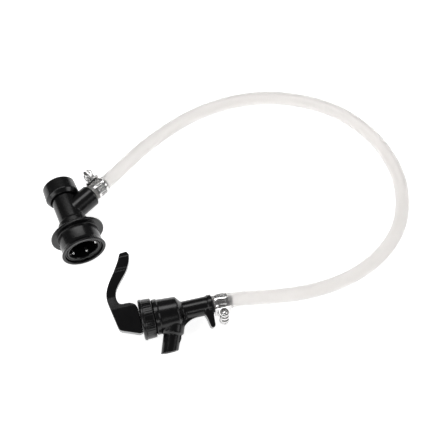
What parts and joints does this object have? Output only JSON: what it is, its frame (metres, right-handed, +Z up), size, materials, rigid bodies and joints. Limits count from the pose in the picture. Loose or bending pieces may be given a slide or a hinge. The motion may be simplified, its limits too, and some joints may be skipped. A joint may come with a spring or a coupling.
{
  "type": "keg beer line",
  "caption": "Flexible clear hose with a ball-lock keg disconnect at one end and a thumb-lever tap at the other, held by worm-drive clamps.",
  "frame": {"origin": "centre of the bottom of the object's box, without the free hose, on the table that it lies on", "axes": "+Z up; the disconnect's axis lies along Y with its open mouth facing -Y; the hose runs out to +X and back to the tap"},
  "size_m": [0.2353, 0.1675, 0.034],
  "materials": {
    "black_plastic": "satin moulded acetal and polypropylene",
    "stainless_steel": "bright rolled stainless steel",
    "black_rubber": "matt nitrile rubber",
    "clear_vinyl": "clear flexible vinyl, slightly milky"
  },
  "bodies": {
    "root": {"disconnect_body": "black_plastic", "disconnect_cap": "black_plastic", "cap_gasket": "black_rubber", "spring_washer": "stainless_steel", "retaining_ring": "black_plastic", "collar_spring": "stainless_steel", "poppet_spring": "stainless_steel", "tap_body": "black_plastic", "tap_nut": "black_plastic", "tap_spring": "stainless_steel", "clamp_band_a": "stainless_steel", "clamp_housing_a": "stainless_steel", "clamp_band_b": "stainless_steel", "clamp_housing_b": "stainless_steel", "hose": "clear_vinyl"},
    "collar": {"collar": "black_plastic"},
    "poppet": {"poppet": "black_plastic", "poppet_seal": "black_rubber"},
    "plunger": {"plunger": "black_plastic", "plunger_seal": "black_rubber", "seat_washer": "black_rubber"},
    "lever": {"lever": "black_plastic"},
    "clamp_screw_a": {"clamp_screw_a": "stainless_steel"},
    "clamp_screw_b": {"clamp_screw_b": "stainless_steel"},
    "lock_ball_1": {"lock_ball_1": "stainless_steel"},
    "lock_ball_2": {"lock_ball_2": "stainless_steel"},
    "lock_ball_3": {"lock_ball_3": "stainless_steel"},
    "lock_ball_4": {"lock_ball_4": "stainless_steel"},
    "lock_ball_5": {"lock_ball_5": "stainless_steel"},
    "lock_ball_6": {"lock_ball_6": "stainless_steel"}
  },
  "joints": [
    {"name": "collar_slide", "type": "slide", "parent": "root", "child": "collar", "axis": [0, 1, 0], "range_m": [0, 0.0035], "stiffness_N_per_m": 180, "springref_m": -0.0167, "deforming": ["collar_spring"]},
    {"name": "poppet_slide", "type": "slide", "parent": "root", "child": "poppet", "axis": [0, 1, 0], "range_m": [0, 0.003], "stiffness_N_per_m": 670, "springref_m": -0.0045, "deforming": ["poppet_spring"]},
    {"name": "lever_pivot", "type": "hinge", "parent": "plunger", "child": "lever", "pos_m": [-0.01793, -0.04125, 0.0126], "axis": [0.0517, 0.3381, -0.9397], "range_deg": [0, 25]},
    {"name": "plunger_slide", "type": "slide", "parent": "root", "child": "plunger", "axis": [-0.9885, 0.1513, 0], "range_m": [0, 0.0025], "stiffness_N_per_m": 1180, "springref_m": -0.0025, "deforming": ["tap_spring"]},
    {"name": "screw_a_turn", "type": "hinge", "parent": "root", "child": "clamp_screw_a", "pos_m": [-0.00804, 0.06305, 0.017], "axis": [0, 0, 1], "continuous": true},
    {"name": "screw_b_turn", "type": "hinge", "parent": "root", "child": "clamp_screw_b", "pos_m": [0.03627, -0.05859, 0.0126], "axis": [0, 0, -1], "continuous": true},
    {"name": "ball_1_slide", "type": "slide", "parent": "root", "child": "lock_ball_1", "axis": [0.7071, 0, 0.7071], "range_m": [0, 0.0009]},
    {"name": "ball_2_slide", "type": "slide", "parent": "root", "child": "lock_ball_2", "axis": [-0.2588, 0, 0.9659], "range_m": [0, 0.0009]},
    {"name": "ball_3_slide", "type": "slide", "parent": "root", "child": "lock_ball_3", "axis": [-0.9659, 0, 0.2588], "range_m": [0, 0.0009]},
    {"name": "ball_4_slide", "type": "slide", "parent": "root", "child": "lock_ball_4", "axis": [-0.7071, 0, -0.7071], "range_m": [0, 0.0009]},
    {"name": "ball_5_slide", "type": "slide", "parent": "root", "child": "lock_ball_5", "axis": [0.2588, 0, -0.9659], "range_m": [0, 0.0009]},
    {"name": "ball_6_slide", "type": "slide", "parent": "root", "child": "lock_ball_6", "axis": [0.9659, 0, -0.2588], "range_m": [0, 0.0009]}
  ],
  "couplings": [
    {"joint": "lever_pivot", "follows": "plunger_slide", "rad_per_m": 174.53},
    {"joint": "ball_1_slide", "follows": "collar_slide", "ratio": 0.25714},
    {"joint": "ball_2_slide", "follows": "collar_slide", "ratio": 0.25714},
    {"joint": "ball_3_slide", "follows": "collar_slide", "ratio": 0.25714},
    {"joint": "ball_4_slide", "follows": "collar_slide", "ratio": 0.25714},
    {"joint": "ball_5_slide", "follows": "collar_slide", "ratio": 0.25714},
    {"joint": "ball_6_slide", "follows": "collar_slide", "ratio": 0.25714}
  ]
}
